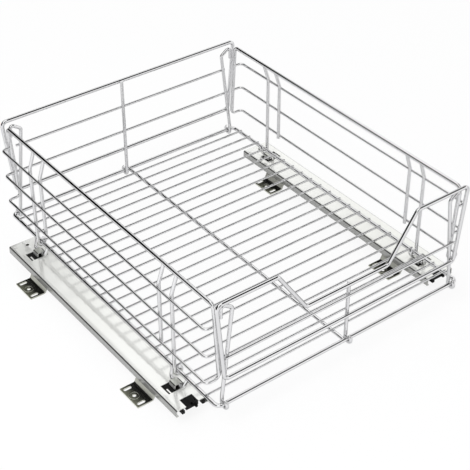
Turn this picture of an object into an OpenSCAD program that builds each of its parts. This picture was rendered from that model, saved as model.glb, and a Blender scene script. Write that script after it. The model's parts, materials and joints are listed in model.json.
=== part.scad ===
// Pull-out wire basket for a base cabinet, on two full-extension slides that lie flat.
// +X is to the right, the front faces -Y, +Z is up, and z = 0 is the cabinet floor.
// The origin is the middle of the whole assembly's footprint.

/* [Basket] */
// Width between the centres of the two side base wires
basket_w = 385; // [330:5:560]
// Depth between the centres of the front and back base wires
basket_d = 480; // [460:5:600]
// Height of the front and back rims above the base wires
panel_h = 148.5; // [135:0.5:220]
// Height of the side rims above the base wires
side_h = 143; // [129:0.5:214]
// Height of the base wires above the cabinet floor
base_z = 40; // [38:0.5:60]
// Bend radius of the base frame's corners
corner_r = 7; // [6:0.5:9]
// Number of cross wires in the base
cross_count = 22; // [20:1:22]

/* [Wires] */
// Diameter of the base frame wire and of the panel rims
rim_wire = 5; // [4.8:0.1:5.4]
// Diameter of the uprights, the corner springs and the slide feet
upright_wire = 4.5; // [4.2:0.1:4.6]
// Diameter of the horizontal wires in the panels
panel_wire = 3.5; // [3:0.1:4]
// Diameter of the cross wires in the base
cross_wire = 3; // [2.6:0.1:3.4]
// Depth to which two welded wires sink into each other
weld = 0.4; // [0.3:0.05:0.6]
// Play of a hinge eye around its base wire
eye_play = 0.15; // [0.1:0.01:0.15]
// How far a hinge eye curls round its base wire, in degrees
eye_turn = 250; // [200:5:270]

/* [Front and back panels] */
// Height of the lower wire, which closes the rim's loop
low_z = 37; // [30:0.5:45]
// Height of the middle wire
mid_z = 67; // [55:0.5:75]
// Height of the upper wire of the back panel
high_z = 107.5; // [90:0.5:115]
// Height of the low stretch of the front rim
drop_z = 85; // [80:0.5:100]
// Width of the dropped part of the front rim at the top
drop_top_w = 214; // [180:1:240]
// Width of the low stretch of the front rim
drop_low_w = 128; // [90:1:160]
// Bend radius of the rims
rim_bend = 7; // [6:0.5:9]
// How far the rim posts lean inward at the lower wire
knee_inset = 10.5; // [8:0.5:12]
// How far the shoulder of a corner spring stands in from the corner
spring_inset = 25; // [22:0.5:30]
// Height of the shoulder of a corner spring
spring_z = 133.5; // [128:0.5:136]
// How far the hook of a corner spring stands in from the corner
hook_inset = 9; // [8:0.1:10]
// Height of the hook's bend
hook_z = 144.5; // [142:0.5:146]
// Length of the hook's free leg
hook_len = 19; // [12:0.5:20]
// Bend radius of the corner springs
spring_bend = 4; // [3.5:0.5:5]
// How far the middle wires reach past the corner springs
wire_overrun = 5; // [3:0.5:5.5]
// Sideways place of the middle upright, clear of the centre wire
middle_x = 6; // [5.5:0.5:12]

/* [Side panels] */
// Height of the lowest side wire
side_low_z = 33; // [30:0.5:40]
// Spacing of the side wires
side_pitch = 40; // [34:0.5:42]
// How far the side rim stands in from the base wire
side_rim_x = 3.3; // [2:0.1:5]
// How far the end posts stand in at the lowest side wire
side_knee_x = 10; // [8:0.5:11]
// How far the uprights bend above the top side wire
upright_bend = 5; // [4:0.5:8]
// Distance between a long and a short upright
upright_gap = 26; // [20:0.5:40]
// Bend radius of the side wires
side_bend = 6; // [5:0.5:8]
// Gap between a side panel and the front or back panel
corner_gap = 0.4; // [0.3:0.1:1.5]

/* [Slides] */
// How far the middle of each slide stands outside the base's side wire
slide_out = 10; // [8:0.5:12]
// Length of the slides
slide_len = 400; // [390:5:450]
// Width of the slides
slide_w = 45; // [44:0.5:48]
// Height of the slides
slide_h = 12.7; // [12.7:0.1:14]
// Height of the moving member's side walls
band_h = 10; // [9:0.1:10.5]
// Sheet thickness of the moving and middle members
sheet = 1.2; // [1:0.05:1.4]
// Sheet thickness of the fixed member
fixed_sheet = 1.4; // [1.2:0.05:1.6]
// How far forward the slides lie of the basket's middle
slide_shift = 3.5; // [0:0.5:8]
// Distance of the wire feet from the slide's ends
foot_setback = 38; // [36:0.5:60]
// How far the middle and fixed members stop short of the front
member_setback = 16; // [15:0.5:24]
// Diameter of the balls between the moving and middle members
upper_ball = 3.4; // [3:0.1:3.6]
// Diameter of the balls between the middle and fixed members
lower_ball = 3; // [2.6:0.1:3.2]
// Running clearance of the balls
ball_play = 0.05; // [0.03:0.01:0.08]
// Number of balls in each row
ball_count = 6; // [3:1:7]

/* [Brackets] */
// Distance of the brackets' middles from the slide's ends
bracket_setback = 72; // [60:1:100]
// Length of a bracket along the slide
bracket_len = 40; // [38:1:60]
// Sheet thickness of a bracket
bracket_sheet = 2; // [1.5:0.1:2.5]
// Width of the floor flange, measured from the bracket's wall
flange_w = 24; // [23:0.5:32]
// How far the bracket's wall stands in from the slide's edge
wall_inset = 3.5; // [3:0.1:4.5]
// Distance of the slots and the screw hole from the wall
slot_from_wall = 16; // [13:0.5:16]
// Distance between the two slots of a bracket
slot_pitch = 30; // [28:0.5:32]
// Width of a slot
slot_w = 4.5; // [4:0.1:5]
// Length of a slot from end to end
slot_len = 11; // [8:0.5:12]
// Diameter of the round screw hole
screw_hole = 5; // [4:0.1:5.5]

/* [Hidden] */

wire_fn = 40;
bend_fn = 72;
hole_fn = 48;

chrome = "gainsboro";
zinc = "silver";
spring_steel = "darkgray";
black_plastic = "#202020";

// Where the basket and the slides stand
slide_pitch = basket_w + 2 * slide_out;
flange_reach = flange_w - wall_inset;
basket_x = flange_reach / 2;
centre_wire = upright_wire;
centre_z = (rim_wire - centre_wire) / 2;
cross_z = rim_wire / 2 + cross_wire / 2 - weld;
cross_pitch = basket_d / (cross_count + 1);

// A bend is drawn a hair thicker than the straight lengths that run into it
bend_swell = 0.1;
bend_lap = 0.2;

// The hinge eyes, and the planes of the wires measured from the base wire's centre
eye_r = rim_wire / 2 + eye_play + upright_wire / 2;
rim_y = eye_r - upright_wire / 2 - rim_wire / 2 + weld;
mid_y = eye_r - upright_wire / 2 - panel_wire / 2 + weld;
side_wire_x = eye_r + upright_wire / 2 + panel_wire / 2 - weld;

// Corner springs of the front and back panels: an eye, a leg, a shoulder and a hook
eye_side_gap = 0.5;
eye_inset = corner_r + upright_wire / 2 + eye_side_gap;
foot_rise = 8;

foot_y = slide_len / 2 - foot_setback;
bracket_pitch = slide_len - 2 * bracket_setback;

// A side panel's long uprights stand over the feet, and their eyes clear the cross wires
eye_line_gap = 0.65;
line_offset = cross_count % 2 == 0 ? 0.5 : 0;
function nearest_line(y) = (round(y / cross_pitch - line_offset) + line_offset) * cross_pitch;
function clear_of_lines(y) =
    let (line = nearest_line(y), need = (cross_wire + upright_wire + bend_swell) / 2 + eye_line_gap)
    abs(y - line) >= need ? y : line + (y < line ? -need : need);
long_y = clear_of_lines(foot_y - slide_shift);

// End posts of the side panels, which stand just inside those springs
side_end_y = eye_r + upright_wire / 2 + corner_gap + rim_wire / 2;
side_top_wire_z = side_low_z + 2 * side_pitch;
short_overrun = 3;

// Levels in the slide, from its underside
moving_inner_w = slide_w - 2 * sheet;
lip_w = 1.7;
cage_gap = 0.15;
cage_sheet = 0.4;
cage_strip = 0.8;
upper_ball_x = moving_inner_w / 2 - ball_play - upper_ball / 2;
middle_w = 2 * (upper_ball_x - upper_ball / 2 - ball_play);
middle_inner_w = middle_w - 2 * sheet;
lower_ball_x = middle_inner_w / 2 - ball_play - lower_ball / 2;
fixed_w = 2 * (lower_ball_x - lower_ball / 2 - ball_play);
moving_web = slide_h - sheet;
upper_cage_top = moving_web - cage_gap;
middle_top = upper_cage_top - cage_sheet - cage_gap;
lower_cage_top = middle_top - sheet - cage_gap;
fixed_top = lower_cage_top - cage_sheet - cage_gap;
middle_bottom = 2;
band_bottom = slide_h - band_h;
upper_ball_z = (band_bottom + sheet + upper_cage_top) / 2;
lower_ball_z = (fixed_sheet + lower_cage_top) / 2;
cage_skirt = 1.2;
ball_hole_play = 0.3;
upper_cage_len = 120;
lower_cage_len = 100;
upper_cage_start = 120;
lower_cage_start = 140;

// Where a slide lies: its top is this far below the base wires
slide_drop = 16.5;
slide_top_z = base_z - slide_drop;
slide_z = slide_top_z - slide_h;
slide_front_y = -slide_shift - slide_len / 2;
foot_wire_z = -slide_drop + upright_wire / 2 + eye_play / 2;
foot_wire_x = 5.5;
foot_half = 12.5;
foot_spread = 3;
foot_bend = 5;

// Windows in the moving member, and what stands in them
window_len = 17.5;
window_in = 7.5;
window_out = 17.5;
insert_play = 0.2;
insert_sink = 0.3;
insert_below = 0.4;
clip_sheet = 1.2;
clip_play = 0.05;
clip_w = 11.2;
clip_len = 12;
clip_bend = 2;
clip_offset = -1.5;
clip_leg_sink = 0.9;
clip_slot_play = 0.1;
tongue_in = 2;
tongue_w = 2;
tongue_len = 9;
tongue_play = 0.2;
notch_w = 17.5;
notch_len = 14;
bumper_depth = 6;
bumper_play = 0.15;
bumper_recess = 6;
nick = 3;
lug_in = 12.5;
lug_w = 4;
lug_len = 3;
foot_lug_in = 3;
rail_hole = 4.6;
rail_hole_y = 11;
access_hole = 9;
dimple_d = 4;
dimple_h = 0.4;
dimple_x = 16.4;
dimple_y = 8;
rear_bumper_len = 6;
rail_bend = 2;
arc_steps = 6;

// Brackets and their rivets
bracket_h = slide_z;
wall_x = -slide_w / 2 + wall_inset;
fold_in = 2;
fold_top_in = 1;
wall_lean = 25;
ridge_r = 6;
ridge_wire = 2;
rivet_d = 4;
rivet_head_d = 7;
rivet_head_h = 1;
rivet_play = 0.03;
rivet_pitch = 20;
rivet_x = -4;

function unit(v) = v / norm(v);
function turn(a, b, c) = acos(unit(b - a) * unit(c - b));
function trim(a, b, c, r) = r * tan(turn(a, b, c) / 2);
function bend_at(r, i) = is_list(r) ? r[i] : r;
function flip_x(pts) = [for (i = [len(pts) - 1 : -1 : 0]) [-pts[i][0], pts[i][1], pts[i][2]]];
function flip_y(pts) = [for (i = [len(pts) - 1 : -1 : 0]) [pts[i][0], -pts[i][1], pts[i][2]]];
function reversed(v) = [for (i = [len(v) - 1 : -1 : 0]) v[i]];
function quarter(cx, cz, r, from, to) =
    [for (k = [0 : arc_steps]) let (a = from + (to - from) * k / arc_steps) [cx + r * cos(a), cz + r * sin(a)]];

// A straight round wire from point a to point b
module rod(a, b, d) {
    v = b - a;
    translate(a) rotate([0, acos(v[2] / norm(v)), atan2(v[1], v[0])])
        cylinder(d = d, h = norm(v), $fn = wire_fn);
}

// A bent round wire that starts at centre + r * x_dir and leaves along y_dir
module arc(centre, x_dir, y_dir, r, angle, d) {
    n = cross(x_dir, y_dir);
    multmatrix([[x_dir[0], y_dir[0], n[0], centre[0]],
                [x_dir[1], y_dir[1], n[1], centre[1]],
                [x_dir[2], y_dir[2], n[2], centre[2]],
                [0, 0, 0, 1]])
        rotate_extrude(angle = angle, $fn = bend_fn) translate([r, 0]) circle(d = d + bend_swell, $fn = wire_fn);
}

// The bend at corner b of a wire that runs from a to c
module elbow(a, b, c, r, d) {
    u = unit(b - a);
    w = unit(c - b);
    inward = unit(w - (w * u) * u);
    start = b - u * trim(a, b, c, r);
    arc(start + inward * r, -inward, u, r, turn(a, b, c), d);
}

// A round wire along a list of points, with bend radius r (one value, or one for each point)
module wire(pts, r, d) {
    last = len(pts) - 1;
    for (i = [0 : last - 1]) {
        dir = unit(pts[i + 1] - pts[i]);
        head = i == 0 ? 0 : trim(pts[i - 1], pts[i], pts[i + 1], bend_at(r, i)) - bend_lap;
        tail = i == last - 1 ? 0 : trim(pts[i], pts[i + 1], pts[i + 2], bend_at(r, i + 1)) - bend_lap;
        rod(pts[i] + dir * head, pts[i + 1] - dir * tail, d);
    }
    if (last > 1)
        for (i = [1 : last - 1]) elbow(pts[i - 1], pts[i], pts[i + 1], bend_at(r, i), d);
}

// The same for a closed loop of points
module wire_loop(pts, r, d) {
    n = len(pts);
    for (i = [0 : n - 1]) {
        a = pts[(i + n - 1) % n];
        b = pts[i];
        c = pts[(i + 1) % n];
        e = pts[(i + 2) % n];
        dir = unit(c - b);
        rod(b + dir * (trim(a, b, c, r) - bend_lap), c - dir * (trim(b, c, e, r) - bend_lap), d);
        elbow(a, b, c, r, d);
    }
}

module at_basket() {
    translate([basket_x, 0, base_z]) children();
}

// side is -1 for the left slide and 1 for the right one
module at_slide(side) {
    translate([basket_x + side * slide_pitch / 2, slide_front_y, slide_z]) children();
}

// The same, mirrored for the right slide
module at_slide_pair(side) {
    at_slide(side) mirror([side > 0 ? 1 : 0, 0, 0]) children();
}

// ---- basket ----

module slide_foot() {
    half = foot_half + foot_spread;
    top_z = -rim_wire / 10;
    wire([[0, -half, top_z], [-foot_wire_x, -foot_half, foot_wire_z],
          [-foot_wire_x, foot_half, foot_wire_z], [0, half, top_z]], foot_bend, upright_wire);
}

module base_grid() {
    hw = basket_w / 2;
    hd = basket_d / 2;
    color(chrome) at_basket() {
        wire_loop([[-hw, -hd, 0], [hw, -hd, 0], [hw, hd, 0], [-hw, hd, 0]], corner_r, rim_wire);
        rod([0, -hd, centre_z], [0, hd, centre_z], centre_wire);
        for (i = [1 : cross_count])
            rod([-hw - 1, -hd + i * cross_pitch, cross_z], [hw + 1, -hd + i * cross_pitch, cross_z], cross_wire);
        for (side = [-1, 1]) for (end = [-1, 1])
            translate([side * hw, -slide_shift + end * foot_y, 0])
                mirror([side > 0 ? 1 : 0, 0, 0]) slide_foot();
    }
}

// An upright's eye around the base wire, in the plane x
module eye(x) {
    arc([x, 0, 0], [0, 1, 0], [0, 0, -1], eye_r, eye_turn, upright_wire);
}

// Distance of a spring's leg from the corner at height z
function leg_inset(z) = eye_inset + (spring_inset - eye_inset) * (z - foot_rise) / (spring_z - foot_rise);

// A front or back panel: its base wire lies along X at the origin, +Y is into the basket
module end_panel(rim_pts, level_wires, upright_top) {
    hw = basket_w / 2;
    left = [[-(hw - knee_inset), rim_y, low_z], [-hw, rim_y, panel_h]];
    wire_loop(concat(left, rim_pts, flip_x(left)), rim_bend, rim_wire);

    for (side = [-1, 1]) {
        eye(side * (hw - eye_inset));
        wire([[side * (hw - eye_inset), eye_r, -bend_lap], [side * (hw - eye_inset), eye_r, foot_rise],
              [side * (hw - spring_inset), eye_r, spring_z], [side * (hw - hook_inset), eye_r, hook_z],
              [side * (hw - hook_inset), eye_r, hook_z - hook_len]], spring_bend, upright_wire);
    }

    for (z = level_wires) {
        reach = hw - leg_inset(z) + wire_overrun;
        rod([-reach, mid_y, z], [reach, mid_y, z], panel_wire);
    }

    eye(middle_x);
    rod([middle_x, eye_r, -bend_lap], [middle_x, eye_r, upright_top], upright_wire);
}

module front_panel() {
    drop = [[-drop_top_w / 2, rim_y, panel_h], [-drop_low_w / 2, rim_y, drop_z]];
    color(chrome) at_basket() translate([0, -basket_d / 2, 0])
        end_panel(concat(drop, flip_x(drop)), [mid_z], drop_z + rim_wire / 4);
}

module back_panel() {
    color(chrome) at_basket() translate([0, basket_d / 2, 0]) rotate([0, 0, 180])
        end_panel([], [mid_z, high_z], panel_h + rim_wire / 4);
}

// How far in from the base wire a side panel's end post stands at height z
function side_post_x(z) = side_rim_x + (side_knee_x - side_rim_x) * (side_h - z) / (side_h - side_low_z);
function side_post(z) = [side_post_x(z), side_end_y - basket_d / 2, z];

// The left side panel: its base wire lies along Y at the origin, +X is into the basket
module side_panel() {
    rim = [side_post(side_low_z + side_bend - 1), side_post(side_h)];
    wire(concat(rim, flip_y(rim)), side_bend, rim_wire);

    // The lowest wire starts inside the end post and turns outward below it
    for (i = [0 : 2]) {
        z = side_low_z + i * side_pitch;
        out = [-side_wire_x, side_post(z)[1], z];
        half = i == 0 ? [side_post(z + 2 * side_bend), side_post(z), out] : [side_post(z), out];
        wire(concat(half, flip_y(half)), side_bend, panel_wire);
    }

    for (end = [-1, 1]) {
        long = end * long_y;
        short = end * (long_y - upright_gap);
        bend_z = side_top_wire_z + upright_bend;
        wire([[-eye_r, long, -bend_lap], [-eye_r, long, bend_z], [side_rim_x, long, side_h]],
             side_bend, upright_wire);
        arc([0, long, 0], [-1, 0, 0], [0, 0, -1], eye_r, eye_turn, upright_wire);
        wire([[-eye_r, short, side_low_z - short_overrun], [-eye_r, short, bend_z],
              [side_rim_x, short, side_h]], side_bend, upright_wire);
    }
}

module left_panel() {
    color(chrome) at_basket() translate([-basket_w / 2, 0, 0]) side_panel();
}

module right_panel() {
    color(chrome) at_basket() translate([basket_w / 2, 0, 0]) mirror([1, 0, 0]) side_panel();
}

// ---- slides: local x = 0 is the slide's middle, y = 0 its front end, z = 0 its underside ----

// Extrudes a profile drawn in X and Z along +Y
module along(y0, y1) {
    translate([0, y1, 0]) rotate([90, 0, 0]) linear_extrude(y1 - y0) children();
}

module moving_profile() {
    hw = slide_w / 2;
    iw = moving_inner_w / 2;
    lip = iw - lip_w;
    polygon(concat(
        [[-lip, band_bottom], [-hw, band_bottom]],
        quarter(-hw + rail_bend, slide_h - rail_bend, rail_bend, 180, 90),
        quarter(hw - rail_bend, slide_h - rail_bend, rail_bend, 90, 0),
        [[hw, band_bottom], [lip, band_bottom], [lip, band_bottom + sheet], [iw, band_bottom + sheet],
         [iw, moving_web], [-iw, moving_web], [-iw, band_bottom + sheet], [-lip, band_bottom + sheet]]));
}

module middle_profile() {
    hw = middle_w / 2;
    iw = middle_inner_w / 2;
    polygon(concat(
        [[-hw, middle_bottom]],
        quarter(-hw + rail_bend, middle_top - rail_bend, rail_bend, 180, 90),
        quarter(hw - rail_bend, middle_top - rail_bend, rail_bend, 90, 0),
        [[hw, middle_bottom], [iw, middle_bottom], [iw, middle_top - sheet],
         [-iw, middle_top - sheet], [-iw, middle_bottom]]));
}

module fixed_profile() {
    hw = fixed_w / 2;
    iw = hw - fixed_sheet;
    polygon(concat(
        [[-hw, fixed_top]],
        quarter(-hw + rail_bend, rail_bend, rail_bend, 180, 270),
        quarter(hw - rail_bend, rail_bend, rail_bend, 270, 360),
        [[hw, fixed_top], [iw, fixed_top], [iw, fixed_sheet], [-iw, fixed_sheet], [-iw, fixed_top]]));
}

// Middle of the wire foot along the slide, for the front (-1) or rear (1) foot
function foot_at(end) = slide_len / 2 + end * foot_y;
// The foot's wire, seen from the middle of the left slide
foot_x = slide_out - foot_wire_x;

module outer_rail() {
    difference() {
        along(0, slide_len) moving_profile();
        for (end = [-1, 1])
            translate([foot_x - window_out, foot_at(end) - window_len / 2, moving_web - 1])
                cube([window_out + window_in, window_len, sheet + 2]);
        translate([-notch_w / 2, -1, moving_web - 1]) cube([notch_w, notch_len + 1, sheet + 2]);
        translate([0, slide_len - rail_hole_y, moving_web - 1])
            cylinder(d = rail_hole, h = sheet + 2, $fn = hole_fn);
    }
    for (end = [-1, 1]) translate([0, foot_at(end), 0]) tongue(0);
    for (side = [-1, 1])
        translate([side * dimple_x, slide_len - dimple_y, slide_h - dimple_h])
            cylinder(d = dimple_d, h = 2 * dimple_h, $fn = hole_fn);
}

// The middle member has a wider hole below the moving member's round one
module middle_rail() {
    difference() {
        along(member_setback, slide_len) middle_profile();
        translate([0, slide_len - rail_hole_y, middle_top - sheet - 1])
            cylinder(d = access_hole, h = sheet + 2, $fn = hole_fn);
    }
}

// Places of the rivets along the slide
function bracket_at(end) = slide_len / 2 + end * bracket_pitch / 2;
rivet_places = [for (end = [-1, 1]) for (k = [-1, 1]) bracket_at(end) + k * rivet_pitch / 2];

module inner_rail() {
    difference() {
        along(member_setback, slide_len) fixed_profile();
        for (y = rivet_places)
            translate([rivet_x, y, -1]) cylinder(d = rivet_d + 2 * rivet_play, h = fixed_sheet + 2, $fn = hole_fn);
    }
}

function ball_y(start, len, i) = start + len * (i + 0.5) / ball_count;

module cage(x, top, ball_z, ball, start, len) {
    skirt = ball_z - ball / 2 - cage_skirt;
    half = x + cage_strip / 2;
    difference() {
        union() {
            translate([-half, start, top - cage_sheet]) cube([2 * half, len, cage_sheet]);
            for (side = [-1, 1])
                translate([side * x - cage_strip / 2, start, skirt]) cube([cage_strip, len, top - skirt]);
        }
        for (side = [-1, 1]) for (i = [0 : ball_count - 1])
            translate([side * x - 1, ball_y(start, len, i), ball_z]) rotate([0, 90, 0])
                cylinder(d = ball + ball_hole_play, h = 2, $fn = hole_fn);
    }
}

module ball_set(x, ball_z, ball, start, len) {
    for (side = [-1, 1]) for (i = [0 : ball_count - 1])
        translate([side * x, ball_y(start, len, i), ball_z]) sphere(d = ball, $fn = 24);
}

module upper_cage() {
    cage(upper_ball_x, upper_cage_top, upper_ball_z, upper_ball, upper_cage_start, upper_cage_len);
}

module lower_cage() {
    cage(lower_ball_x, lower_cage_top, lower_ball_z, lower_ball, lower_cage_start, lower_cage_len);
}

module upper_balls() {
    ball_set(upper_ball_x, upper_ball_z, upper_ball, upper_cage_start, upper_cage_len);
}

module lower_balls() {
    ball_set(lower_ball_x, lower_ball_z, lower_ball, lower_cage_start, lower_cage_len);
}

// ---- what holds the basket on the moving members ----

foot_level = slide_h + foot_wire_z + slide_drop;
clip_top = foot_level + upright_wire / 2 + clip_play + clip_sheet;
clip_foot = slide_h - insert_sink - clip_leg_sink;

// The pocket that a clip's legs stand in
module clip_pocket() {
    for (side = [-1, 1])
        translate([foot_x + clip_offset + side * (clip_w - clip_sheet) / 2 - clip_sheet / 2 - clip_slot_play,
                   -clip_len / 2 - clip_slot_play, clip_foot - clip_slot_play])
            cube([clip_sheet + 2 * clip_slot_play, clip_len + 2 * clip_slot_play, sheet + clip_leg_sink]);
}

module clip_profile() {
    hw = clip_w / 2;
    bend_x = hw - clip_bend;
    bend_z = clip_top - clip_bend;
    inner_r = clip_bend - clip_sheet;
    polygon(concat(
        [[-hw, clip_foot]], quarter(-bend_x, bend_z, clip_bend, 180, 90), quarter(bend_x, bend_z, clip_bend, 90, 0),
        [[hw, clip_foot], [hw - clip_sheet, clip_foot]], quarter(bend_x, bend_z, inner_r, 0, 90),
        quarter(-bend_x, bend_z, inner_r, 90, 180), [[clip_sheet - hw, clip_foot]]));
}

// A saddle of folded sheet over the foot's wire
module clip(end) {
    translate([foot_x + clip_offset, foot_at(end), 0]) along(-clip_len / 2, clip_len / 2) clip_profile();
}

// The tongue of the moving member that lies in the insert
module tongue(play) {
    translate([foot_x - window_out + tongue_in - play, -window_len / 2 - 1, moving_web - play])
        cube([tongue_w + 2 * play, tongue_len + 1 + play, sheet + 2 * play]);
}

module insert(end) {
    top = slide_h - insert_sink;
    bottom = moving_web - insert_below;
    translate([0, foot_at(end), 0]) difference() {
        translate([foot_x - window_out + insert_play, -window_len / 2 + insert_play, bottom])
            cube([window_out + window_in - 2 * insert_play, window_len - 2 * insert_play, top - bottom]);
        clip_pocket();
        tongue(tongue_play);
    }
}

// End stop of the moving member: fills its notch, and reaches under the web with two side lugs
module front_bumper() {
    body_w = notch_w - 2 * bumper_play;
    under_w = moving_inner_w - 2 * bumper_play;
    bottom = slide_h - bumper_depth;
    under_h = moving_web - bottom - bumper_play;
    difference() {
        union() {
            translate([-body_w / 2, 0, bottom]) cube([body_w, notch_len - bumper_play, bumper_depth - insert_sink]);
            translate([-under_w / 2, bumper_recess, bottom])
                cube([under_w, notch_len + 1 - bumper_recess, under_h]);
        }
        translate([-nick / 2, -1, slide_h - nick]) cube([nick, nick + 1, nick + 1]);
        translate([body_w / 2 - nick, nick, slide_h - nick]) cube([nick + 1, nick, nick + 1]);
    }
    for (side = [-1, 1]) translate([side * (lug_in + lug_w / 2) - lug_w / 2, -lug_len, bottom])
        cube([lug_w, lug_len + bumper_recess + 1, under_h]);
    translate([foot_lug_in, -lug_len, bottom]) cube([nick, lug_len + 1, nick]);
}

module rear_bumper() {
    w = fixed_w - 2 * fixed_sheet - 2 * bumper_play;
    translate([-w / 2, slide_len - rear_bumper_len, fixed_sheet])
        cube([w, rear_bumper_len, fixed_top - fixed_sheet]);
}

// ---- brackets: local x = 0 is the slide's middle, y = 0 the bracket's middle, z = 0 the floor ----

// The wall leans out from the slide down to the flange
module bracket_profile() {
    t = bracket_sheet;
    low_z = fold_in + t;
    top_x = wall_x + t + fold_top_in;
    top_z = bracket_h - t - fold_top_in;
    wall_rise = top_z + fold_top_in * sin(wall_lean) - low_z * (1 - sin(wall_lean));
    low_x = top_x - (fold_top_in + low_z) * cos(wall_lean) - wall_rise * tan(wall_lean);
    polygon(concat(
        [[wall_x - flange_w, 0]],
        quarter(low_x, low_z, low_z, 270, 360 - wall_lean),
        quarter(top_x, top_z, fold_top_in, 180 - wall_lean, 90),
        [[fixed_w / 2, bracket_h - t], [fixed_w / 2, bracket_h]],
        quarter(top_x, top_z, fold_top_in + t, 90, 180 - wall_lean),
        quarter(low_x, low_z, fold_in, 360 - wall_lean, 270),
        [[wall_x - flange_w, t]]));
}

module slot_cutter() {
    span = slot_len - slot_w;
    translate([-span / 2, -slot_w / 2, 0]) cube([span, slot_w, 3 * bracket_sheet]);
    for (side = [-1, 1])
        translate([side * span / 2, 0, 0]) cylinder(d = slot_w, h = 3 * bracket_sheet, $fn = hole_fn);
}

module bracket() {
    hole_x = wall_x - slot_from_wall;
    difference() {
        union() {
            along(-bracket_len / 2, bracket_len / 2) bracket_profile();
            intersection() {
                translate([hole_x, 0, bracket_sheet])
                    rotate_extrude($fn = bend_fn) translate([ridge_r, 0]) circle(d = ridge_wire, $fn = wire_fn);
                translate([hole_x - 2 * ridge_r, -2 * ridge_r, bracket_sheet / 2])
                    cube([4 * ridge_r, 4 * ridge_r, bracket_sheet]);
            }
        }
        for (side = [-1, 1]) translate([hole_x, side * slot_pitch / 2, -bracket_sheet]) slot_cutter();
        translate([hole_x, 0, -1]) cylinder(d = screw_hole, h = bracket_sheet + 2, $fn = hole_fn);
        for (side = [-1, 1])
            translate([rivet_x, side * rivet_pitch / 2, bracket_h - bracket_sheet - 1])
                cylinder(d = rivet_d + 2 * rivet_play, h = bracket_sheet + 2, $fn = hole_fn);
    }
}

module rivets() {
    for (y = rivet_places) translate([rivet_x, y, 0]) {
        translate([0, 0, -bracket_sheet - rivet_head_h])
            cylinder(d = rivet_head_d, h = rivet_head_h, $fn = hole_fn);
        translate([0, 0, -bracket_sheet - rivet_head_h])
            cylinder(d = rivet_d, h = bracket_sheet + fixed_sheet + 2 * rivet_head_h, $fn = hole_fn);
        translate([0, 0, fixed_sheet]) cylinder(d = rivet_head_d, h = rivet_head_h, $fn = hole_fn);
    }
}

module at_bracket(side, end) {
    translate([basket_x + side * slide_pitch / 2, slide_front_y + bracket_at(end), 0]) children();
}

base_grid();
front_panel();
back_panel();
left_panel();
right_panel();
color(zinc) at_slide_pair(-1) outer_rail();  // left_outer_rail
color(zinc) at_slide_pair(1) outer_rail();  // right_outer_rail
color(zinc) at_slide(-1) middle_rail();  // left_middle_rail
color(zinc) at_slide(1) middle_rail();  // right_middle_rail
color(zinc) at_slide(-1) inner_rail();  // left_inner_rail
color(zinc) at_slide(1) inner_rail();  // right_inner_rail
color(spring_steel) at_slide(-1) upper_cage();  // left_upper_cage
color(spring_steel) at_slide(1) upper_cage();  // right_upper_cage
color(spring_steel) at_slide(-1) lower_cage();  // left_lower_cage
color(spring_steel) at_slide(1) lower_cage();  // right_lower_cage
color(chrome) at_slide(-1) upper_balls();  // left_upper_balls
color(chrome) at_slide(1) upper_balls();  // right_upper_balls
color(chrome) at_slide(-1) lower_balls();  // left_lower_balls
color(chrome) at_slide(1) lower_balls();  // right_lower_balls
color(zinc) at_bracket(-1, -1) bracket();  // left_front_bracket
color(zinc) at_bracket(-1, 1) bracket();  // left_rear_bracket
color(zinc) at_bracket(1, -1) bracket();  // right_front_bracket
color(zinc) at_bracket(1, 1) bracket();  // right_rear_bracket
color(spring_steel) at_slide_pair(-1) clip(-1);  // left_front_clip
color(spring_steel) at_slide_pair(-1) clip(1);  // left_rear_clip
color(spring_steel) at_slide_pair(1) clip(-1);  // right_front_clip
color(spring_steel) at_slide_pair(1) clip(1);  // right_rear_clip
color(black_plastic) at_slide_pair(-1) insert(-1);  // left_front_insert
color(black_plastic) at_slide_pair(-1) insert(1);  // left_rear_insert
color(black_plastic) at_slide_pair(1) insert(-1);  // right_front_insert
color(black_plastic) at_slide_pair(1) insert(1);  // right_rear_insert
color(black_plastic) at_slide(-1) front_bumper();  // left_front_bumper
color(black_plastic) at_slide(1) front_bumper();  // right_front_bumper
color(black_plastic) at_slide(-1) rear_bumper();  // left_rear_bumper
color(black_plastic) at_slide(1) rear_bumper();  // right_rear_bumper
color(zinc) at_slide(-1) rivets();  // left_rivets
color(zinc) at_slide(1) rivets();  // right_rivets
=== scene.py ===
"""Looks of the pull-out cabinet basket: bright wires, rolled slides and a white studio around the part."""

import json
import math

import bmesh
import bpy
from mathutils import Matrix, Vector

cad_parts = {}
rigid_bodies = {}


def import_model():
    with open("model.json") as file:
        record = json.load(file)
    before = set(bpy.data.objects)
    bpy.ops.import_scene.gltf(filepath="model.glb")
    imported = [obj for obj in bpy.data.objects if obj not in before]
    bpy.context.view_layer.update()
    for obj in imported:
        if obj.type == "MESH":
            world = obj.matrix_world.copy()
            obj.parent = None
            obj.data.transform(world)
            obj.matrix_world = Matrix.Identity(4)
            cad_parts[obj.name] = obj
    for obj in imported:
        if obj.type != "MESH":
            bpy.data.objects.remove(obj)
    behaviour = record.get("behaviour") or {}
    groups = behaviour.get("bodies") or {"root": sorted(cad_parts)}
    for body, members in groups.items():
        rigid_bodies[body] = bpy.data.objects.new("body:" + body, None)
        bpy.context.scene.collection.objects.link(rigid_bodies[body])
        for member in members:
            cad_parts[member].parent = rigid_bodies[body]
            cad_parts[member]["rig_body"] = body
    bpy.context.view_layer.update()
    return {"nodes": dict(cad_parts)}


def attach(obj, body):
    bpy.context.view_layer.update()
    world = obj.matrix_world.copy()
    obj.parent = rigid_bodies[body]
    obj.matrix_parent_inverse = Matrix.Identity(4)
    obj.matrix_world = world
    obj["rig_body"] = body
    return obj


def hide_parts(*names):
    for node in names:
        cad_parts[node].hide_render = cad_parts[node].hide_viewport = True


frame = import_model()
nodes = frame["nodes"]
SIDES = ("left", "right")
ENDS = ("front", "rear")


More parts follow.
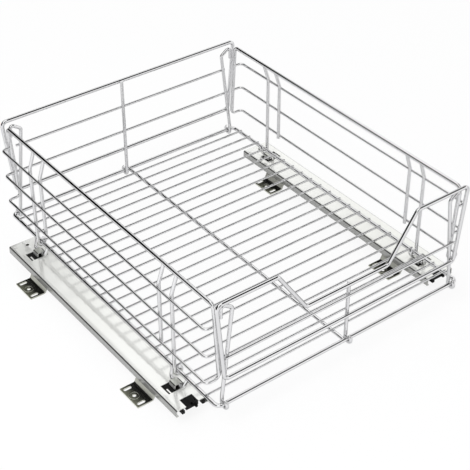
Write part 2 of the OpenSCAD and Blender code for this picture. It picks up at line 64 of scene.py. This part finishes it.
def place_in_scene(thing):
    bpy.context.scene.collection.objects.link(thing)


# ---- camera: stands in front of the left corner and looks down on the basket ----

CAMERA_AT = (-0.7772, -1.0584, 1.0298)
CAMERA_HEADING = 37.15
CAMERA_DIP = 36.36
CAMERA_ROLL = 0.06
CAMERA_LENS = 93.7
CAMERA_CLIP = (0.05, 50.0)
SENSOR = 36.0


def make_camera():
    heading, dip, roll = (math.radians(v) for v in (CAMERA_HEADING, CAMERA_DIP, CAMERA_ROLL))
    ahead = Vector((math.cos(dip) * math.sin(heading), math.cos(dip) * math.cos(heading), -math.sin(dip)))
    right = ahead.cross(Vector((0, 0, 1))).normalized()
    down = ahead.cross(right)
    x_axis = right * math.cos(roll) + down * math.sin(roll)
    y_axis = -(down * math.cos(roll) - right * math.sin(roll))
    turn = Matrix((x_axis, y_axis, -ahead)).transposed().to_4x4()
    data = bpy.data.cameras.new("camera")
    data.sensor_width = SENSOR
    data.lens = CAMERA_LENS
    data.clip_start, data.clip_end = CAMERA_CLIP
    camera = bpy.data.objects.new("camera", data)
    camera.matrix_world = Matrix.Translation(CAMERA_AT) @ turn
    place_in_scene(camera)
    bpy.context.scene.camera = camera


# ---- materials ----

class Nodes:
    """A short way to write a node tree."""

    def __init__(self, tree):
        self.tree = tree
        tree.nodes.clear()

    def set_input(self, socket, value):
        if isinstance(value, bpy.types.NodeSocket):
            self.tree.links.new(value, socket)
        else:
            socket.default_value = value

    def add(self, kind, inputs=None, **settings):
        node = self.tree.nodes.new(kind)
        for name, value in settings.items():
            setattr(node, name, value)
        for key, value in (inputs or {}).items():
            self.set_input(node.inputs[key], value)
        return node

    def math(self, operation, *values, clamp=False):
        node = self.add("ShaderNodeMath", dict(enumerate(values)), operation=operation, use_clamp=clamp)
        return node.outputs[0]

    def vector(self, operation, *values):
        return self.add("ShaderNodeVectorMath", dict(enumerate(values)), operation=operation).outputs

    def part(self, vector, axis):
        return self.add("ShaderNodeSeparateXYZ", {0: vector}).outputs[axis]

    def noise(self, place, scale, detail=2.0, roughness=0.5):
        return self.add("ShaderNodeTexNoise", {"Vector": place, "Scale": scale, "Detail": detail,
                                               "Roughness": roughness}).outputs["Fac"]

    def spread(self, value, low, high, from_low=0.3, from_high=0.7):
        """Maps a range, by default the one where most of a noise lies, to the range from low to high."""
        return self.add("ShaderNodeMapRange", {"Value": value, "From Min": from_low, "From Max": from_high,
                                               "To Min": low, "To Max": high}).outputs["Result"]

    def blend(self, factor, a, b, mode="MIX"):
        """Mixes two colours. A Mix node keeps the sockets of its colour form at 6, 7 and 2."""
        node = self.add("ShaderNodeMix", data_type="RGBA", blend_type=mode)
        for key, value in ((0, factor), (6, a), (7, b)):
            self.set_input(node.inputs[key], value)
        return node.outputs[2]

    def coordinates(self, kind):
        return self.add("ShaderNodeTexCoord").outputs[kind]

    def stretched(self, scale):
        place = self.coordinates("Object")
        return self.add("ShaderNodeMapping", {"Vector": place, "Scale": scale}).outputs["Vector"]


def rgb(r, g, b):
    return (r, g, b, 1.0)


def new_material(name):
    material = bpy.data.materials.new(name)
    material.use_nodes = True
    return material, Nodes(material.node_tree)


# How far a surface looks along an axis, from 0 to 1: over which a flat face takes on its painted shade, and
# where the painted dark line of a fold starts and ends
FACE_FROM = (0.35, 0.75)
FOLD_STARTS = (0.15, 0.30)
FOLD_ENDS = (0.85, 0.97)
# The share of a piece's width over which the painted shade goes from its left-edge colour to that of the face
LEFT_EDGE_SPAN = 0.25


def paint_shade(n, colour, painted_face_shade, axis="Z", painted_fold_shade=None, painted_left_edge_shade=None):
    """Paints shade into a colour by the way the surface faces: multiplies it by the face colour where the
    surface looks along axis, and by the fold colour on the folds leading there, a painted dark line. With a
    left-edge colour, the faces' painted shade starts as that colour at the piece's left edge."""
    if painted_left_edge_shade:
        across = n.part(n.coordinates("Generated"), "X")
        painted_face_shade = n.blend(n.spread(across, 0.0, 1.0, 0.0, LEFT_EDGE_SPAN), painted_left_edge_shade, painted_face_shade)
    facing = n.math("ABSOLUTE", n.part(n.coordinates("Normal"), axis))
    colour = n.blend(n.spread(facing, 0.0, 1.0, *FACE_FROM), colour, painted_face_shade, "MULTIPLY")
    if painted_fold_shade:
        painted_fold_mask = n.math("MULTIPLY", n.spread(facing, 0.0, 1.0, *FOLD_STARTS),
                         n.spread(facing, 1.0, 0.0, *FOLD_ENDS))
        colour = n.blend(painted_fold_mask, colour, painted_fold_shade, "MULTIPLY")
    return colour


def metal(name, light, dark, rough, grain, grain_depth, mottle=6.0, shade=None, solid=0.0, edge=1.0):
    """Plated or rolled metal: a colour that drifts from light to dark, a varying polish and a fine grain.
    grain is its fineness along X, Y and Z. shade holds the settings of the shade painted into the colour by
    the way the faces look. solid is the share that is paint-like, and edge how much still shines where the
    surface turns away."""
    material, n = new_material(name)
    drift = n.noise(n.stretched((1, 1, 1)), mottle, 4.0)
    streaks = n.noise(n.stretched(grain), 1.0, 3.0, 0.6)
    colour = n.blend(n.spread(drift, 0.0, 1.0), light, dark)
    if shade:
        colour = paint_shade(n, colour, **shade)
    bump = n.add("ShaderNodeBump", {"Height": streaks, "Strength": 1.0, "Distance": grain_depth})
    shader = n.add("ShaderNodeBsdfPrincipled", {
        "Base Color": colour, "Metallic": 1.0 - solid, "Roughness": n.spread(streaks, *rough),
        "Specular Tint": rgb(edge, edge, edge), "Normal": bump.outputs["Normal"]})
    n.add("ShaderNodeOutputMaterial", {"Surface": shader.outputs[0]})
    return material


SKIN_FINENESS = 2600.0
SKIN_DEPTH = 0.00004
PLASTIC_SHEEN = 0.12


def plastic(name, colour, worn, rough):
    """Moulded plastic with a spark-eroded skin."""
    material, n = new_material(name)
    place = n.stretched((1, 1, 1))
    skin = n.noise(place, SKIN_FINENESS, 2.0)
    drift = n.noise(place, 90.0, 3.0)
    bump = n.add("ShaderNodeBump", {"Height": skin, "Strength": 0.5, "Distance": SKIN_DEPTH})
    shader = n.add("ShaderNodeBsdfPrincipled", {
        "Base Color": n.blend(n.spread(drift, 0.0, 1.0), colour, worn), "Roughness": n.spread(drift, *rough),
        "Specular IOR Level": PLASTIC_SHEEN, "Normal": bump.outputs["Normal"]})
    n.add("ShaderNodeOutputMaterial", {"Surface": shader.outputs[0]})
    return material


chrome = metal("chrome_wire", rgb(0.93, 0.93, 0.935), rgb(0.87, 0.87, 0.875), rough=(0.02, 0.06),
               grain=(500, 500, 500), grain_depth=0.000004, edge=0.12)
# The slides' sides are darkened by painted shade, and their folds carry a painted dark reflection as a dark
# line.
zinc = metal("rail_zinc", rgb(0.95, 0.955, 0.93), rgb(0.89, 0.895, 0.86), rough=(0.10, 0.18),
             grain=(900, 14, 900), grain_depth=0.000006, solid=0.42,
             shade={"axis": "X", "painted_face_shade": rgb(0.46, 0.46, 0.46), "painted_fold_shade": rgb(0.16, 0.16, 0.16)})
# The brackets' faces that look up or down, the flanges, carry a painted dark reflection, lighter towards the
# left edge.
bracket_zinc = metal("bracket_zinc", rgb(0.74, 0.745, 0.67), rgb(0.62, 0.625, 0.55), rough=(0.14, 0.26),
                     grain=(30, 700, 700), grain_depth=0.000008, mottle=20.0, solid=0.5,
                     shade={"painted_face_shade": rgb(0.02, 0.02, 0.02), "painted_left_edge_shade": rgb(0.19, 0.195, 0.155)})
cage_steel = metal("cage_steel", rgb(0.58, 0.59, 0.60), rgb(0.48, 0.49, 0.50), rough=(0.25, 0.4),
                   grain=(900, 20, 900), grain_depth=0.000006)
ball_steel = metal("ball_steel", rgb(0.80, 0.80, 0.82), rgb(0.76, 0.76, 0.78), rough=(0.04, 0.08),
                   grain=(300, 300, 300), grain_depth=0.000002)
# The saddles' top faces are darkened by painted shade, and their folds carry painted shade as a dark line.
clip_steel = metal("clip_steel", rgb(0.86, 0.865, 0.85), rgb(0.74, 0.745, 0.73), rough=(0.14, 0.26),
                   grain=(600, 60, 600), grain_depth=0.000006, solid=0.35,
                   shade={"painted_face_shade": rgb(0.80, 0.81, 0.77), "painted_fold_shade": rgb(0.18, 0.18, 0.17)})
weld_metal = metal("weld_bead", rgb(0.70, 0.705, 0.72), rgb(0.55, 0.555, 0.57), rough=(0.14, 0.30),
                   grain=(900, 900, 900), grain_depth=0.00003)
black_plastic = plastic("black_plastic", rgb(0.004, 0.004, 0.004), rgb(0.008, 0.008, 0.008),
                        rough=(0.30, 0.45))

FINISHES = {
    chrome: ["base_grid", "front_panel", "back_panel", "left_panel", "right_panel"],
    zinc: [f"{s}_{n}_rail" for s in SIDES for n in ("outer", "middle", "inner")],
    bracket_zinc: [f"{s}_{n}" for s in SIDES for n in ("front_bracket", "rear_bracket", "rivets")],
    cage_steel: [f"{s}_{n}_cage" for s in SIDES for n in ("upper", "lower")],
    ball_steel: [f"{s}_{n}_balls" for s in SIDES for n in ("upper", "lower")],
    clip_steel: [f"{s}_{e}_clip" for s in SIDES for e in ENDS],
    black_plastic: [f"{s}_{e}_{n}" for s in SIDES for e in ENDS for n in ("insert", "bumper")],
}


def dress_nodes():
    for material, names in FINISHES.items():
        for name in names:
            mesh = nodes[name].data
            mesh.materials.clear()
            mesh.materials.append(material)


# ---- sheet and plastic pieces with the small edge radius that pressing and moulding leave ----

MERGE_DISTANCE = 0.000002
FLAT_ANGLE = math.radians(1)
SHARP_ANGLE = math.radians(38)
EDGE_SEGMENTS = 2
EDGE_RADII = {
    "outer_rail": 0.00025, "bracket": 0.00030, "clip": 0.00025, "insert": 0.00020, "bumper": 0.00035,
}


def round_edges(name, radius):
    """Shows a CAD node as a copy of its own mesh with the sharp edges rounded."""
    bm = bmesh.new()
    bm.from_mesh(nodes[name].data)
    bmesh.ops.remove_doubles(bm, verts=bm.verts, dist=MERGE_DISTANCE)
    bmesh.ops.dissolve_limit(bm, angle_limit=FLAT_ANGLE, verts=bm.verts, edges=bm.edges)
    mesh = bpy.data.meshes.new(name + "_shown")
    bm.to_mesh(mesh)
    bm.free()
    if "custom_normal" in mesh.attributes:
        mesh.attributes.remove(mesh.attributes["custom_normal"])
    mesh.shade_smooth()
    mesh.materials.clear()
    mesh.materials.append(nodes[name].data.materials[0])
    piece = bpy.data.objects.new(name + "_shown", mesh)
    place_in_scene(piece)
    bevel = piece.modifiers.new("edges", "BEVEL")
    bevel.width = radius
    bevel.segments = EDGE_SEGMENTS
    bevel.limit_method = "ANGLE"
    bevel.angle_limit = SHARP_ANGLE
    bevel.harden_normals = True
    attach(piece, nodes[name]["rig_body"])
    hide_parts(name)


# ---- welds: a small flattened bead wherever two wires of the basket are joined ----

# The base: half its width and depth, its height, where its middle lies, and its cross wires
BASE_HALF_W, BASE_HALF_D, BASE_Z = 0.1925, 0.240, 0.040
BASKET_X = 0.01025
CROSS_COUNT = 22
CROSS_PITCH = 2 * BASE_HALF_D / (CROSS_COUNT + 1)
BASE_BEAD_Z = BASE_Z + 0.0024
# The end walls: heights of the wires above the base, the corner springs' legs as (distance from the corner,
# height) at the bottom and at the top, and how far the middle upright stands from the centre
END_LEVELS = {"front": (0.037, 0.067), "back": (0.037, 0.067, 0.1075)}
LEG_LOW, LEG_TOP = (0.00975, 0.008), (0.025, 0.1335)
MIDDLE_X = 0.006
# The side walls: heights of the wires above the base, and how far the uprights stand from the centre
SIDE_LEVELS = (0.033, 0.073, 0.113)
SIDE_UPRIGHTS_Y = (-0.1611, -0.1351, 0.1351, 0.1611)
# The beads lie inside the end walls' base wires and outside those of the side walls, by these distances
END_BEAD_Y = 0.0027
SIDE_BEAD_X = 0.0070
# Half sizes of a bead on the base, on an end wall and on a side wall
BASE_BEAD = (0.0017, 0.0019, 0.0009)
END_BEAD = (0.0018, 0.0009, 0.0016)
SIDE_BEAD = (0.0009, 0.0018, 0.0016)


def add_beads(name, body, places, half_size):
    bm = bmesh.new()
    for place in places:
        bmesh.ops.create_icosphere(bm, subdivisions=2, radius=1.0,
                                   matrix=Matrix.Translation(place) @ Matrix.Diagonal((*half_size, 1.0)))
    mesh = bpy.data.meshes.new(name)
    bm.to_mesh(mesh)
    bm.free()
    mesh.shade_smooth()
    mesh.materials.append(weld_metal)
    piece = bpy.data.objects.new(name, mesh)
    place_in_scene(piece)
    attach(piece, body)


def leg_distance(height):
    """How far a corner spring's leg stands from the middle at a height above the base."""
    share = (height - LEG_LOW[1]) / (LEG_TOP[1] - LEG_LOW[1])
    return BASE_HALF_W - LEG_LOW[0] - (LEG_TOP[0] - LEG_LOW[0]) * share


def add_welds():
    lines = [-BASE_HALF_D + i * CROSS_PITCH for i in range(1, CROSS_COUNT + 1)]
    add_beads("base_welds", "basket", [(BASKET_X + x, y, BASE_BEAD_Z)
                                       for y in lines for x in (-BASE_HALF_W, 0.0, BASE_HALF_W)], BASE_BEAD)
    for name, facing in (("front", 1), ("back", -1)):
        y = facing * (END_BEAD_Y - BASE_HALF_D)
        add_beads(f"{name}_welds", f"{name}_wall",
                  [(BASKET_X + x, y, BASE_Z + z) for z in END_LEVELS[name]
                   for x in (-leg_distance(z), facing * MIDDLE_X, leg_distance(z))], END_BEAD)
    for name, side in (("left", -1), ("right", 1)):
        x = BASKET_X + side * (BASE_HALF_W + SIDE_BEAD_X)
        add_beads(f"{name}_welds", f"{name}_wall",
                  [(x, y, BASE_Z + z) for y in SIDE_UPRIGHTS_Y for z in SIDE_LEVELS], SIDE_BEAD)


# ---- studio ----

# The room that shines in the metal: a white horizon that stands higher at the right, two white panels that
# face each other, and a white ceiling at the left, with dark between them. Heights are the Z part of a
# direction, and sides its X part. The panels' heading and half width are degrees.
HORIZON_HEIGHTS = (0.05, 0.50)
HORIZON_SIDES = (0.0, 0.25)
HORIZON_SOFT = 0.05
PANEL_HEADING = 44.5
PANEL_HALF_WIDTH = 20.0
PANEL_TOP = 0.86
CEILING_HEIGHT = 0.745
CEILING_SIDE = 0.30
EDGE_SOFT = 0.02
# The plain light that the room gives grows with height
LIGHT_STRENGTHS = (0.55, 0.95)
LIGHT_HEIGHTS = (-0.1, 1.0)
WHITE = rgb(1, 1, 1)


def past(n, value, limit):
    """0 below a limit and 1 above it, with a soft edge."""
    return n.spread(value, 0.0, 1.0, limit - EDGE_SOFT, limit + EDGE_SOFT)


def short_of(n, value, limit):
    """1 below a limit and 0 above it, with a soft edge."""
    return n.spread(value, 1.0, 0.0, limit - EDGE_SOFT, limit + EDGE_SOFT)


def make_world():
    world = bpy.data.worlds.new("studio")
    bpy.context.scene.world = world
    world.use_nodes = True
    n = Nodes(world.node_tree)
    way = n.coordinates("Generated")
    side, height = n.part(way, "X"), n.part(way, "Z")

    top = n.spread(side, *HORIZON_HEIGHTS, *HORIZON_SIDES)
    horizon = n.math("MULTIPLY_ADD", n.math("SUBTRACT", height, top), -0.5 / HORIZON_SOFT, 0.5, clamp=True)

    heading = math.radians(PANEL_HEADING)
    level = n.vector("NORMALIZE", n.vector("MULTIPLY", way, (1.0, 1.0, 0.0))[0])[0]
    toward = n.vector("DOT_PRODUCT", level, (math.sin(heading), math.cos(heading), 0.0))["Value"]
    panel = n.math("MULTIPLY", past(n, n.math("ABSOLUTE", toward), math.cos(math.radians(PANEL_HALF_WIDTH))),
                   short_of(n, height, PANEL_TOP))

    ceiling = n.math("MULTIPLY", past(n, height, CEILING_HEIGHT), short_of(n, side, CEILING_SIDE))
    mirrored = n.math("MAXIMUM", n.math("MAXIMUM", horizon, panel), ceiling)

    lit = n.spread(height, *LIGHT_STRENGTHS, *LIGHT_HEIGHTS)
    paths = n.add("ShaderNodeLightPath").outputs
    glossy = paths["Is Glossy Ray"]
    strength = n.math("ADD", n.math("MULTIPLY", mirrored, glossy),
                      n.math("MULTIPLY", lit, n.math("SUBTRACT", 1.0, glossy)))
    seen = n.math("MAXIMUM", strength, paths["Is Camera Ray"])
    background = n.add("ShaderNodeBackground", {"Color": WHITE, "Strength": seen})
    n.add("ShaderNodeOutputWorld", {"Surface": background.outputs[0]})


FLOOR_SIZE = 12.0
FLOOR_GAP = 0.0002
FLOOR_PAPER = rgb(0.88, 0.88, 0.89)
# The share of the floor that glows white for the camera, which leaves a faint shadow, and the share that stays
# dark where metal mirrors it
FLOOR_GLOW = 0.88
FLOOR_DARK = 0.17


def make_floor():
    mesh = bpy.data.meshes.new("floor")
    h = FLOOR_SIZE / 2
    mesh.from_pydata([(-h, -h, 0), (h, -h, 0), (h, h, 0), (-h, h, 0)], [], [(0, 1, 2, 3)])
    floor = bpy.data.objects.new("floor", mesh)
    floor.location.z = -FLOOR_GAP
    place_in_scene(floor)
    material, n = new_material("floor_paper")
    paths = n.add("ShaderNodeLightPath").outputs
    paper = n.add("ShaderNodeBsdfDiffuse", {"Color": FLOOR_PAPER})
    glow = n.add("ShaderNodeEmission", {"Color": WHITE, "Strength": paths["Is Camera Ray"]})
    share = n.math("ADD", n.math("MULTIPLY", paths["Is Camera Ray"], FLOOR_GLOW),
                   n.math("MULTIPLY", paths["Is Glossy Ray"], FLOOR_DARK), clamp=True)
    mixed = n.add("ShaderNodeMixShader", {0: share, 1: paper.outputs[0], 2: glow.outputs[0]})
    n.add("ShaderNodeOutputMaterial", {"Surface": mixed.outputs[0]})
    mesh.materials.append(material)


# A round lamp from the upper left, and the point that it is aimed at
LAMP_AT = (-1.6, -0.6, 2.2)
LAMP_AIM = (0.0, 0.0, 0.05)
LAMP_SIZE = 1.4
LAMP_WATTS = 32.0


def make_lamp():
    data = bpy.data.lights.new("key_lamp", "AREA")
    data.shape = "DISK"
    data.size = LAMP_SIZE
    data.energy = LAMP_WATTS
    lamp = bpy.data.objects.new("key_lamp", data)
    lamp.location = LAMP_AT
    lamp.rotation_mode = "QUATERNION"
    lamp.rotation_quaternion = (Vector(LAMP_AIM) - Vector(LAMP_AT)).to_track_quat("-Z", "Y")
    lamp.visible_glossy = False
    place_in_scene(lamp)


make_camera()
dress_nodes()
for node_name in nodes:
    for kind, edge_radius in EDGE_RADII.items():
        if node_name.endswith(kind):
            round_edges(node_name, edge_radius)
add_welds()
make_world()
make_floor()
make_lamp()

bpy.context.scene.view_settings.view_transform = "Standard"
